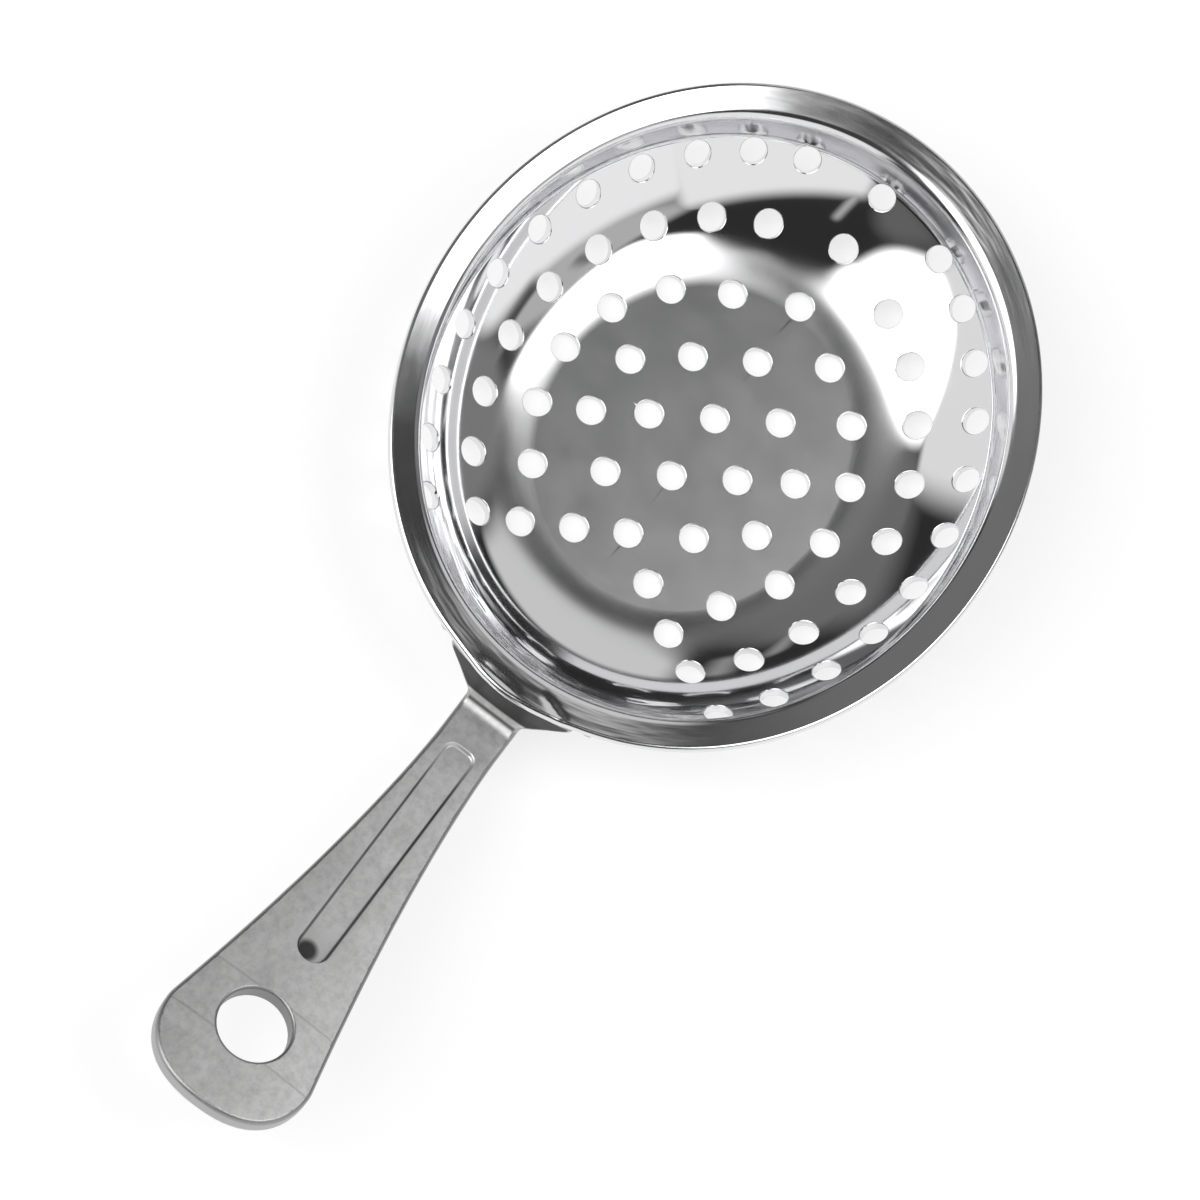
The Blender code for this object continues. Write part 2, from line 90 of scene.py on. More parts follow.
def socket_math(tree, operation, first, second=None, clamp=False):
    """One Math node, fed by sockets or numbers."""
    node = tree.nodes.new("ShaderNodeMath")
    node.operation = operation
    node.use_clamp = clamp
    for index, value in enumerate((first, second)):
        if value is None:
            continue
        if isinstance(value, bpy.types.NodeSocket):
            tree.links.new(value, node.inputs[index])
        else:
            node.inputs[index].default_value = value
    return node.outputs[0]


def map_range(tree, value, low, high, to_low=0.0, to_high=1.0, smooth=False):
    """One Map Range node on a socket."""
    node = tree.nodes.new("ShaderNodeMapRange")
    node.interpolation_type = "SMOOTHSTEP" if smooth else "LINEAR"
    ends = (("From Min", low), ("From Max", high), ("To Min", to_low), ("To Max", to_high))
    for name, number in ends:
        node.inputs[name].default_value = number
    tree.links.new(value, node.inputs["Value"])
    return node.outputs["Result"]


def direction(azimuth, zenith):
    """A unit vector from degrees round from +X and degrees down from straight up."""
    turn, drop = math.radians(azimuth), math.radians(zenith)
    level = math.sin(drop)
    return Vector((level * math.cos(turn), level * math.sin(turn), math.cos(drop)))


def patch_cover(tree, ray, corners, edge):
    """How much of a soft-edged patch of the room a ray meets: 1 inside, fading out at its edges."""
    points = [direction(azimuth, zenith) for azimuth, zenith in corners]
    centre = sum(points, Vector()).normalized()
    fade = math.sin(math.radians(edge))
    covers = 1.0
    for near, far in zip(points, points[1:] + points[:1]):
        inward = near.cross(far).normalized()
        if inward.dot(centre) < 0.0:
            inward = -inward
        dot = tree.nodes.new("ShaderNodeVectorMath")
        dot.operation = "DOT_PRODUCT"
        tree.links.new(ray, dot.inputs[0])
        dot.inputs[1].default_value = inward
        within = map_range(tree, dot.outputs["Value"], -fade, fade, smooth=True)
        covers = socket_math(tree, "MULTIPLY", covers, within)
    return covers


# Each lamp or pale wall of the room: the corners it reaches to, in degrees round from +X and
# degrees down from straight up, how soft its edges are, and how bright it is.
ROOM = (
    dict(corners=((104, 8), (96, 56), (62, 84), (38, 60), (15, 33)), edge=7, level=0.17),
    dict(corners=((100, 2), (90, 33), (99, 55), (118, 61),
                  (135, 64), (150, 62), (165, 50), (174, 30)), edge=3.5, level=3.0),
    dict(corners=((88, 54), (86, 88), (120, 96), (150, 96), (150, 58), (118, 52)),
         edge=5, level=0.85),
    dict(corners=((-5, 20.5), (-39, 36), (-47, 48), (-90, 41), (-107, 29), (-80, 13)),
         edge=3, level=3.0),
    dict(corners=((-176, 58), (-112, 51), (-108, 105), (-170, 110)), edge=3, level=0.95),
    dict(corners=((-116, 56), (-60, 76), (-60, 108), (-116, 112)), edge=4, level=0.98),
    dict(corners=((-118, 53), (-95, 42), (-62, 44), (-58, 70), (-88, 70)), edge=4, level=0.50),
    dict(corners=((-62, 46), (-28, 44), (-26, 84), (-62, 84)), edge=6, level=0.22),
    dict(corners=((16, 40), (26, 62), (25, 80), (0, 80), (-23, 73), (-24, 50), (-6, 39)),
         edge=4, level=0.68),
    dict(corners=((-98, 3), (-130, 14), (-98, 16), (-70, 10)), edge=3, level=0.45),
    dict(corners=((-171, 46), (-174, 58), (-171, 58), (-168, 46)), edge=1.5, level=0.5),
    dict(corners=((46, 57), (41, 72), (46, 74), (51, 60)), edge=3, level=0.3),
    dict(corners=((32, 60), (30, 78), (36, 79), (37, 62)), edge=3, level=0.3),
    dict(corners=((150, 68), (166, 50), (180, 52), (180, 68)), edge=6, level=0.14),
)

# Darker things that stand in front of the pale walls, given in the same way.
SHADES = (
    dict(corners=((-85, 48), (-80, 48), (-80, 58), (-84, 60)), edge=2.5, level=0.16),
    dict(corners=((-54, 46), (-48, 50), (-56, 64), (-60, 60)), edge=2.5, level=0.06),
    dict(corners=((-74, 66), (-60, 66), (-60, 72), (-74, 71)), edge=2.5, level=0.08),
)

world = bpy.data.worlds.new("studio")
scene.world = world
world.use_nodes = True
tree = world.node_tree
tree.nodes.clear()
ray = tree.nodes.new("ShaderNodeTexCoord").outputs["Generated"]
seen = ROOM_DARK
for patch in ROOM:
    covers = patch_cover(tree, ray, patch["corners"], patch["edge"])
    seen = socket_math(tree, "MAXIMUM", seen, socket_math(tree, "MULTIPLY", covers, patch["level"]))
for patch in SHADES:
    covers = patch_cover(tree, ray, patch["corners"], patch["edge"])
    shaded = socket_math(tree, "MULTIPLY", covers, patch["level"])
    open_part = socket_math(tree, "SUBTRACT", 1.0, covers)
    seen = socket_math(tree, "ADD", socket_math(tree, "MULTIPLY", seen, open_part), shaded)
path = tree.nodes.new("ShaderNodeLightPath")
level = socket_math(tree, "MAXIMUM", seen, path.outputs["Is Camera Ray"])
background = tree.nodes.new("ShaderNodeBackground")
background.inputs["Color"].default_value = WHITE
tree.links.new(level, background.inputs["Strength"])
output = tree.nodes.new("ShaderNodeOutputWorld")
tree.links.new(background.outputs[0], output.inputs["Surface"])

bm = bmesh.new()
bmesh.ops.create_grid(bm, x_segments=1, y_segments=1, size=0.5 * TABLE_SIZE)
table_mesh = bpy.data.meshes.new("table")
bmesh.ops.translate(bm, vec=(0.0, 0.0, -TABLE_DROP), verts=bm.verts)
bm.to_mesh(table_mesh)
bm.free()
table = bpy.data.objects.new("table", table_mesh)
scene.collection.objects.link(table)
table_finish = bpy.data.materials.new("table")
table_finish.use_nodes = True
tree = table_finish.node_tree
tree.nodes.clear()
paint = tree.nodes.new("ShaderNodeBsdfDiffuse")
paint.inputs["Color"].default_value = (TABLE_COLOUR, TABLE_COLOUR, TABLE_COLOUR, 1.0)
white = tree.nodes.new("ShaderNodeEmission")
white.inputs["Color"].default_value = WHITE
white.inputs["Strength"].default_value = TABLE_WHITE
path = tree.nodes.new("ShaderNodeLightPath")
looked_at = socket_math(tree, "ADD", path.outputs["Is Camera Ray"], path.outputs["Is Glossy Ray"])
looked_at = socket_math(tree, "ADD", looked_at, path.outputs["Is Transmission Ray"], clamp=True)
looked_at = socket_math(tree, "MULTIPLY", looked_at, TABLE_SHOWN_WHITE)
both = tree.nodes.new("ShaderNodeMixShader")
tree.links.new(looked_at, both.inputs["Fac"])
tree.links.new(paint.outputs[0], both.inputs[1])
tree.links.new(white.outputs[0], both.inputs[2])
side_seen = tree.nodes.new("ShaderNodeNewGeometry").outputs["Backfacing"]
from_below = socket_math(tree, "MULTIPLY", side_seen, path.outputs["Is Camera Ray"])
open_below = tree.nodes.new("ShaderNodeMixShader")
tree.links.new(from_below, open_below.inputs["Fac"])
tree.links.new(both.outputs[0], open_below.inputs[1])
tree.links.new(tree.nodes.new("ShaderNodeBsdfTransparent").outputs[0], open_below.inputs[2])
output = tree.nodes.new("ShaderNodeOutputMaterial")
tree.links.new(open_below.outputs[0], output.inputs["Surface"])
table.data.materials.append(table_finish)


# --- Bowl -------------------------------------------------------------------------------
# Stainless sheet, punched flat and then drawn over a die into an oval dish with a turned-out
# rim. Its inside is polished to a mirror, its floor is left a little softer, and the punched
# edges are lightly rounded.

BOWL_LENGTH = 96.4 * MM
BOWL_WIDTH = 82.6 * MM
BOWL_DEPTH = 16.5 * MM
SHEET = 1.2 * MM
FLOOR_RADIUS = 20.2 * MM
KNUCKLE_RADIUS = 16.0 * MM
KNUCKLE_SLOPE = math.radians(35.0)
WALL_RADIUS = 40.0 * MM
WALL_SLOPE = math.radians(48.0)
SHOULDER_RADIUS = 2.0 * MM
COLLAR_SLOPE = math.radians(86.8)
LIP_RADIUS = 1.4 * MM
FLANGE_WIDTH = 3.0 * MM
FLANGE_SLOPE = math.radians(12.5)
RIM_EDGE_ROUND = 0.5 * MM
PRESSED_OUT = 0.6 * MM
PRESSED_HALF_WIDTH = 11.0 * MM
HOLE_DIAMETER = 3.85 * MM
HOLE_STRETCH = 1.06
HOLE_TOP_ROUND = 0.16 * MM
HOLE_UNDER_ROUND = 0.08 * MM
PUNCH_CLEARANCE = 0.004 * MM
ROUND_SEGMENTS = 288
PUNCH_SEGMENTS = 32

# The hole pattern, in shares of the bowl's half length and half width: a core of short rows,
# nested rings that stay open towards the handle, and two more along each edge of that opening.
CORE_ROWS = (
    dict(across=0.0, count=4, pitch=0.2095),
    dict(across=0.1768, count=3, pitch=0.2116),
    dict(across=0.3317, count=2, pitch=0.1888),
)
HOLE_RINGS = (
    dict(tip=0.5207, along=0.4647, across=0.5206, first=22.2, step=22.3, count=6),
    dict(tip=0.7137, along=0.6888, across=0.6840, first=20.7, step=15.15, count=9),
    dict(tip=0.8589, along=0.8610, across=0.8281, first=18.7, step=11.8, count=11),
)
WEDGE_STEP = (-0.0820, 0.1477)
WEDGE_HOLES = 2

# Dents that the welding clamp left in the rim: middle, way they run, half length, half width
# and depth.
RIM_DENTS = (
    dict(x=-47.3, y=2.2, way=86.0, half_length=3.1, half_width=0.75, depth=0.16),
    dict(x=-46.1, y=-6.1, way=68.0, half_length=2.2, half_width=0.6, depth=0.10),
)

OVAL = BOWL_LENGTH / BOWL_WIDTH
RIM_Z = SHEET + BOWL_DEPTH
RIM_RADIUS = 0.5 * BOWL_WIDTH - SHEET * math.sin(FLANGE_SLOPE)
LIP_OUTER_RADIUS = RIM_RADIUS - FLANGE_WIDTH
LIP_OUTER_Z = RIM_Z - FLANGE_WIDTH * math.tan(FLANGE_SLOPE)


def bend_of(radius, start, end):
    """A curved stretch of the sheet: its length, and its slope where it starts and ends."""
    return radius * abs(end - start), start, end


def run_and_rise(length, start, end, reach):
    """How far out and up a stretch of the sheet carries, up to a reach along it."""
    reach = np.clip(reach, 0.0, length)
    if start == end:
        return reach * math.cos(start), reach * math.sin(start)
    slope = start + (end - start) * reach / length
    radius = length / (end - start)
    return radius * (np.sin(slope) - math.sin(start)), radius * (math.cos(start) - np.cos(slope))


# The sheet from the middle of the floor to the rim: floor, knuckle, wall, shoulder, collar,
# lip and flange. The collar takes up what height is left.
STRETCHES = [
    (FLOOR_RADIUS, 0.0, 0.0),
    bend_of(KNUCKLE_RADIUS, 0.0, KNUCKLE_SLOPE),
    bend_of(WALL_RADIUS, KNUCKLE_SLOPE, WALL_SLOPE),
    bend_of(SHOULDER_RADIUS, WALL_SLOPE, COLLAR_SLOPE),
    bend_of(LIP_RADIUS, COLLAR_SLOPE, FLANGE_SLOPE),
]
rise = SHEET + sum(float(run_and_rise(*stretch, stretch[0])[1]) for stretch in STRETCHES)
COLLAR_LENGTH = (LIP_OUTER_Z - rise) / math.sin(COLLAR_SLOPE)
STRETCHES.insert(4, (COLLAR_LENGTH, COLLAR_SLOPE, COLLAR_SLOPE))
run = sum(float(run_and_rise(*stretch, stretch[0])[0]) for stretch in STRETCHES)
STRETCHES.append(((RIM_RADIUS - run) / math.cos(FLANGE_SLOPE), FLANGE_SLOPE, FLANGE_SLOPE))
ENDS = np.cumsum([stretch[0] for stretch in STRETCHES])
BLANK_RADIUS = float(ENDS[-1])


def smooth_step(value):
    value = np.clip(value, 0.0, 1.0)
    return value * value * (3.0 - 2.0 * value)


def drawn_profile(reach):
    """Radius and height of the bowl's inner skin at a distance out from the middle of the sheet."""
    radius, height = 0.0, SHEET
    for (length, start, end), finish in zip(STRETCHES, ENDS):
        run, rise = run_and_rise(length, start, end, reach - finish + length)
        radius, height = radius + run, height + rise
    beyond = np.maximum(reach - BLANK_RADIUS, 0.0)
    radius = radius + beyond * math.cos(FLANGE_SLOPE)
    height = height + beyond * math.sin(FLANGE_SLOPE)
    return radius, height


def bowl_skin(reach, turn):
    """A point of the inner skin, with the rim squeezed out over the handle's head and dented."""
    radius, height = drawn_profile(reach)
    x = OVAL * radius * np.cos(turn)
    y = radius * np.sin(turn)
    flange = smooth_step((radius - LIP_OUTER_RADIUS) / FLANGE_WIDTH)
    across = 0.5 + 0.5 * np.cos(np.pi * np.clip(y / PRESSED_HALF_WIDTH, -1.0, 1.0))
    x = x - PRESSED_OUT * flange * across * (x < 0.0)
    for dent in RIM_DENTS:
        way = math.radians(dent["way"])
        from_x, from_y = x - dent["x"] * MM, y - dent["y"] * MM
        along = (from_x * math.cos(way) + from_y * math.sin(way)) / (dent["half_length"] * MM)
        aside = (from_y * math.cos(way) - from_x * math.sin(way)) / (dent["half_width"] * MM)
        height = height - dent["depth"] * MM * np.exp(-along ** 4 - aside ** 2)
    return np.stack([x, y, height], axis=-1)


def bowl_die(points):
    """Where the drawn bowl takes each point of the flat sheet, whose upper skin lies at zero."""
    reach = np.hypot(points[:, 0] / OVAL, points[:, 1])
    turn = np.arctan2(points[:, 1], points[:, 0] / OVAL)
    step = 2e-6
    inner = np.maximum(reach, 10.0 * step)
    outwards = bowl_skin(inner + step, turn) - bowl_skin(inner - step, turn)
    round_it = bowl_skin(inner, turn + 1e-4) - bowl_skin(inner, turn - 1e-4)
    normal = np.cross(outwards, round_it)
    normal /= np.linalg.norm(normal, axis=1, keepdims=True)
    return bowl_skin(reach, turn) + normal * points[:, 2:]


def form(mesh, die, thickness):
    """Press a flat piece over a die: its points move and its normals turn with them.

    The piece's upper skin lies at zero and its lower skin one thickness below, and both are
    level; between them its edges are rounded.
    """
    flat = np.empty(len(mesh.vertices) * 3, np.float32)
    mesh.vertices.foreach_get("co", flat)
    flat = flat.reshape(-1, 3).astype(float)
    normals = np.empty(len(mesh.vertices) * 3, np.float32)
    mesh.vertex_normals.foreach_get("vector", normals)
    normals = normals.reshape(-1, 3).astype(float)
    near = 1e-7
    normals[flat[:, 2] > -near] = (0.0, 0.0, 1.0)
    normals[flat[:, 2] < near - thickness] = (0.0, 0.0, -1.0)
    step = 5e-6
    stretch = np.empty((len(flat), 3, 3))
    for axis in range(3):
        shift = np.zeros(3)
        shift[axis] = step
        stretch[:, :, axis] = (die(flat + shift) - die(flat - shift)) / (2.0 * step)
    normals = np.einsum("nij,nj->ni", np.linalg.inv(stretch).transpose(0, 2, 1), normals)
    normals /= np.linalg.norm(normals, axis=1, keepdims=True)
    mesh.vertices.foreach_set("co", die(flat).astype(np.float32).ravel())
    if np.linalg.det(stretch).mean() < 0.0:
        mesh.flip_normals()
    mesh.update()
    mesh.shade_smooth()
    mesh.normals_split_custom_set_from_vertices(normals.astype(np.float32).tolist())


def hole_places():
    """The middles of the holes, seen from above."""
    half = []
    for row in CORE_ROWS:
        first = -0.5 * (row["count"] - 1) * row["pitch"]
        half += [(first + row["pitch"] * index, row["across"]) for index in range(row["count"])]
    corner = half[0][0]
    for ring in HOLE_RINGS:
        half.append((ring["tip"], 0.0))
        for index in range(ring["count"]):
            turn = math.radians(ring["first"] + ring["step"] * index)
            half.append((ring["along"] * math.cos(turn), ring["across"] * math.sin(turn)))
    half += [(corner + WEDGE_STEP[0] * step, WEDGE_STEP[1] * step)
             for step in range(1, WEDGE_HOLES + 1)]
    places = half + [(x, -y) for x, y in half if y > 0.0]
    return [(0.5 * BOWL_LENGTH * x, 0.5 * BOWL_WIDTH * y) for x, y in places]


def mesh_object(name, bm):
    mesh = bpy.data.meshes.new(name)
    bm.to_mesh(mesh)
    bm.free()
    thing = bpy.data.objects.new(name, mesh)
    scene.collection.objects.link(thing)
    return thing


def lofted(name, loops):
    """A closed body through loops of points, the first at the top."""
    bm = bmesh.new()
    rings = [[bm.verts.new(point) for point in loop] for loop in loops]
    for upper, lower in zip(rings, rings[1:]):
        for index in range(len(upper)):
            following = (index + 1) % len(upper)
            bm.faces.new((upper[index], lower[index], lower[following], upper[following]))
    bm.faces.new(rings[0])
    bm.faces.new(reversed(rings[-1]))
    bmesh.ops.recalc_face_normals(bm, faces=bm.faces[:])
    return mesh_object(name, bm)


def flat_sheet():
    """The blank: an oval plate of rings, finely divided where the die will bend it."""
    rings = [share * FLOOR_RADIUS for share in (0.1, 0.3, 0.5, 0.7, 0.85)]
    for count, near, far in zip((22, 18, 10, 6, 14), ENDS, ENDS[1:]):
        rings += list(np.linspace(near, far, count, endpoint=False))
    rings += list(np.linspace(ENDS[-2], BLANK_RADIUS - RIM_EDGE_ROUND, 14))
    edge_turns = [math.radians(angle) for angle in (18, 36, 54, 72, 90)]
    profile = [(reach, 0.0) for reach in rings]
    middle = BLANK_RADIUS - RIM_EDGE_ROUND
    profile += [(middle + RIM_EDGE_ROUND * math.sin(turn),
                 RIM_EDGE_ROUND * (math.cos(turn) - 1.0)) for turn in edge_turns]
    profile += [(reach, -SHEET - depth) for reach, depth in reversed(profile)]
    turns = [2.0 * math.pi * index / ROUND_SEGMENTS for index in range(ROUND_SEGMENTS)]
    loops = [[(OVAL * reach * math.cos(turn), reach * math.sin(turn), depth) for turn in turns]
             for reach, depth in profile]
    return lofted("bowl", loops)


def punch_tool():
    """A turned punch, flared where it enters and leaves the sheet."""
    radius = 0.5 * HOLE_DIAMETER
    top, under = HOLE_TOP_ROUND, HOLE_UNDER_ROUND
    profile = [(radius + top, SHEET), (radius + top, PUNCH_CLEARANCE)]
    for angle in (15, 30, 45, 60, 75, 90):
        turn = math.radians(angle)
        profile.append((radius + top * (1.0 - math.sin(turn)), -top * (1.0 - math.cos(turn))))
    for angle in (90, 60, 30):
        turn = math.radians(angle)
        profile.append((radius + under * (1.0 - math.sin(turn)),
                        under * (1.0 - math.cos(turn)) - SHEET))
    profile += [(radius + under, -SHEET - PUNCH_CLEARANCE), (radius + under, -2.0 * SHEET)]
    turns = np.linspace(0.0, 2.0 * math.pi, PUNCH_SEGMENTS, endpoint=False)
    loops = [[(reach * math.cos(turn), reach * math.sin(turn), height) for turn in turns]
             for reach, height in profile]
    return lofted("punch", loops)


def punch_places():
    """A cloud of points on the flat sheet, each with the turn and the stretch of its punch."""
    reaches = np.linspace(0.0, BLANK_RADIUS, 6000)
    radii, _ = drawn_profile(reaches)
    places, turns, sizes = [], [], []
    for x, y in hole_places():
        radius = math.hypot(x / OVAL, y)
        turn = math.atan2(y, x / OVAL)
        reach = float(np.interp(radius, radii, reaches))
        place = Vector((OVAL * reach * math.cos(turn), reach * math.sin(turn), 0.0))
        slope = min(max(reach - FLOOR_RADIUS, 0.0) / (KNUCKLE_RADIUS * KNUCKLE_SLOPE), 1.0)
        places.append(place)
        turns.append((0.0, 0.0, math.atan2(place.y, place.x)))
        sizes.append((1.0 + (HOLE_STRETCH - 1.0) * slope, 1.0, 1.0))
    mesh = bpy.data.meshes.new("hole_places")
    mesh.from_pydata(places, [], [])
    for name, values in (("turn", turns), ("size", sizes)):
        attribute = mesh.attributes.new(name, "FLOAT_VECTOR", "POINT")
        attribute.data.foreach_set("vector", [value for triple in values for value in triple])
    thing = bpy.data.objects.new("hole_places", mesh)
    scene.collection.objects.link(thing)
    return thing


def punching_tree(finish):
    """Geometry nodes that stand a punch on every place and cut them all out of the sheet."""
    tree = bpy.data.node_groups.new("punching", "GeometryNodeTree")
    tree.interface.new_socket("Sheet", in_out="INPUT", socket_type="NodeSocketGeometry")
    tree.interface.new_socket("Places", in_out="INPUT", socket_type="NodeSocketObject")
    tree.interface.new_socket("Punch", in_out="INPUT", socket_type="NodeSocketObject")
    tree.interface.new_socket("Geometry", in_out="OUTPUT", socket_type="NodeSocketGeometry")
    inlet = tree.nodes.new("NodeGroupInput")
    outlet = tree.nodes.new("NodeGroupOutput")
    places = tree.nodes.new("GeometryNodeObjectInfo")
    punch = tree.nodes.new("GeometryNodeObjectInfo")
    tree.links.new(inlet.outputs["Places"], places.inputs["Object"])
    tree.links.new(inlet.outputs["Punch"], punch.inputs["Object"])
    named = {}
    for name in ("turn", "size"):
        named[name] = tree.nodes.new("GeometryNodeInputNamedAttribute")
        named[name].data_type = "FLOAT_VECTOR"
        named[name].inputs["Name"].default_value = name
    stand = tree.nodes.new("GeometryNodeInstanceOnPoints")
    tree.links.new(places.outputs["Geometry"], stand.inputs["Points"])
    tree.links.new(punch.outputs["Geometry"], stand.inputs["Instance"])
    tree.links.new(named["turn"].outputs[0], stand.inputs["Rotation"])
    tree.links.new(named["size"].outputs[0], stand.inputs["Scale"])
    cut = tree.nodes.new("GeometryNodeMeshBoolean")
    cut.operation = "DIFFERENCE"
    cut.solver = "EXACT"
    tree.links.new(inlet.outputs["Sheet"], cut.inputs["Mesh 1"])
    tree.links.new(stand.outputs["Instances"], cut.inputs["Mesh 2"])
    whole = tree.nodes.new("GeometryNodeRealizeInstances")
    tree.links.new(cut.outputs["Mesh"], whole.inputs["Geometry"])
    coat = tree.nodes.new("GeometryNodeSetMaterial")
    coat.inputs["Material"].default_value = finish
    tree.links.new(whole.outputs["Geometry"], coat.inputs["Geometry"])
    tree.links.new(coat.outputs["Geometry"], outlet.inputs["Geometry"])
    return tree


def set_inputs(modifier, values):
    """Give a geometry-nodes modifier its named inputs."""
    for item in modifier.node_group.interface.items_tree:
        if item.item_type == "SOCKET" and item.in_out == "INPUT" and item.name in values:
            modifier[item.identifier] = values[item.name]


def bake(thing):
    """Turn what a modifier makes into the object's own mesh."""
    bpy.context.view_layer.update()
    whole = thing.evaluated_get(bpy.context.evaluated_depsgraph_get())
    mesh = bpy.data.meshes.new_from_object(whole)
    thing.modifiers.clear()
    thing.data = mesh


def remove(*things):
    for thing in things:
        bpy.data.objects.remove(thing, do_unlink=True)


def steel(name, colour, roughness):
    """A metal finish, its node tree and its shader."""
    finish = bpy.data.materials.new(name)
    finish.use_nodes = True
    shader = finish.node_tree.nodes["Principled BSDF"]
    shader.inputs["Base Color"].default_value = (*colour, 1.0)
    shader.inputs["Metallic"].default_value = 1.0
    shader.inputs["Roughness"].default_value = roughness
    return finish, finish.node_tree, shader


def noise(tree, place, scale, detail=2.0, rough=0.5):
    """Smooth random values, about one lump to each 1/scale metres."""
    node = tree.nodes.new("ShaderNodeTexNoise")
    node.inputs["Scale"].default_value = scale
    node.inputs["Detail"].default_value = detail
    node.inputs["Roughness"].default_value = rough
    tree.links.new(place, node.inputs["Vector"])
    return node.outputs["Fac"]


def spread_along(tree, place, scale):
    """Coordinates with each axis scaled on its own, so that a pattern is drawn out."""
    node = tree.nodes.new("ShaderNodeMapping")
    node.inputs["Scale"].default_value = scale
    tree.links.new(place, node.inputs["Vector"])
    return node.outputs["Vector"]


def bump(tree, shader, height, distance, under=None):
    """Raise the surface by up to a distance where a value is high."""
    node = tree.nodes.new("ShaderNodeBump")
    node.inputs["Distance"].default_value = distance
    tree.links.new(height, node.inputs["Height"])
    if under is not None:
        tree.links.new(under, node.inputs["Normal"])
    tree.links.new(node.outputs["Normal"], shader.inputs["Normal"])
    return node.outputs["Normal"]


def round_the_bowl(tree, place):
    """Coordinates that follow the spinning polisher: distance out, way round and height.

    The way round runs alike on both sides, so the height is skewed a little to part them.
    """
    parts = tree.nodes.new("ShaderNodeSeparateXYZ")
    tree.links.new(place, parts.inputs[0])
    along = socket_math(tree, "DIVIDE", parts.outputs["X"], OVAL)
    out = socket_math(tree, "SQRT", socket_math(
        tree, "ADD", socket_math(tree, "MULTIPLY", along, along),
        socket_math(tree, "MULTIPLY", parts.outputs["Y"], parts.outputs["Y"])))
    turn = socket_math(tree, "ABSOLUTE", socket_math(tree, "ARCTAN2", parts.outputs["Y"], along))
    joined = tree.nodes.new("ShaderNodeCombineXYZ")
    tree.links.new(out, joined.inputs["X"])
    tree.links.new(turn, joined.inputs["Y"])
    skewed = socket_math(tree, "MULTIPLY", parts.outputs["Y"], SIDE_DIFFERENCE)
    skewed = socket_math(tree, "ADD", parts.outputs["Z"], skewed)
    tree.links.new(skewed, joined.inputs["Z"])
    return joined.outputs[0], parts.outputs["Z"], turn


# How dull the polish is, and the heights between which it changes.
MIRROR_COLOUR = (0.80, 0.80, 0.81)
FLOOR_ROUGHNESS = 0.21
WALL_ROUGHNESS = 0.05
FLANGE_ROUGHNESS = 0.14
SOFT_FLOOR_HEIGHT = (1.25 * MM, 3.2 * MM)
SOFT_FLANGE_HEIGHT = (10.5 * MM, 13.0 * MM)

# Small ripples that drawing and welding left: on the flange, and on the wall by the handle.
SIDE_DIFFERENCE = 0.05
RIPPLE_DEPTH = 0.05 * MM
RIPPLE_SPREAD = (700.0, 3.5, 700.0)
FLANGE_RIPPLE = 0.8
FLANGE_RIPPLE_HEIGHT = (12.5 * MM, 14.5 * MM)
SQUEEZED_TURN = (2.2, 2.8)
SQUEEZED_HEIGHT = (5.0 * MM, 9.0 * MM)
WAVE_DEPTH = 0.003 * MM
POLISHING_SPREAD = (2500.0, 4.0, 2500.0)

mirror_steel, tree, shader = steel("mirror_steel", MIRROR_COLOUR, WALL_ROUGHNESS)
place = tree.nodes.new("ShaderNodeTexCoord").outputs["Object"]
polar, height, turn = round_the_bowl(tree, place)
floor_part = map_range(
    tree, height, *SOFT_FLOOR_HEIGHT, FLOOR_ROUGHNESS - WALL_ROUGHNESS, 0.0, True)
flange_part = map_range(
    tree, height, *SOFT_FLANGE_HEIGHT, 0.0, FLANGE_ROUGHNESS - WALL_ROUGHNESS, True)
haze = noise(tree, place, 160.0, 4.0, 0.6)
rings = noise(tree, spread_along(tree, polar, POLISHING_SPREAD), 1.0, 3.0)
roughness = socket_math(tree, "ADD", floor_part, flange_part)
roughness = socket_math(tree, "ADD", roughness, map_range(tree, haze, 0.3, 0.7, 0.035, 0.065))
roughness = socket_math(tree, "ADD", roughness, map_range(tree, rings, 0.55, 0.75, 0.0, 0.012))
tree.links.new(roughness, shader.inputs["Roughness"])
ripples = noise(tree, spread_along(tree, polar, RIPPLE_SPREAD), 1.0, 2.0)
on_flange = map_range(tree, height, *FLANGE_RIPPLE_HEIGHT, 0.0, FLANGE_RIPPLE, True)
high_up = map_range(tree, height, *SQUEEZED_HEIGHT, 0.0, 1.0, True)
by_handle = map_range(tree, turn, *SQUEEZED_TURN, 0.0, 1.0, True)
by_handle = socket_math(tree, "MULTIPLY", by_handle, high_up)
rippled = socket_math(tree, "MULTIPLY", ripples, socket_math(tree, "MAXIMUM", on_flange, by_handle))
drawn = bump(tree, shader, rippled, RIPPLE_DEPTH)
bump(tree, shader, noise(tree, place, 110.0, 2.0), WAVE_DEPTH, drawn)

bowl = flat_sheet()
places = punch_places()
punch = punch_tool()
punching = bowl.modifiers.new("punching", "NODES")
punching.node_group = punching_tree(mirror_steel)
set_inputs(punching, {"Places": places, "Punch": punch})
bake(bowl)
remove(places, punch)
form(bowl.data, bowl_die, SHEET)
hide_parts("strainer_bowl")
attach(bowl, "root")


# --- Handle -----------------------------------------------------------------------------
# One stamped plate with a pressed groove, folded up at its inner end into a T-shaped head
# that fits round the bowl. It is tumbled to an even satin, and hangs from a punched hole.

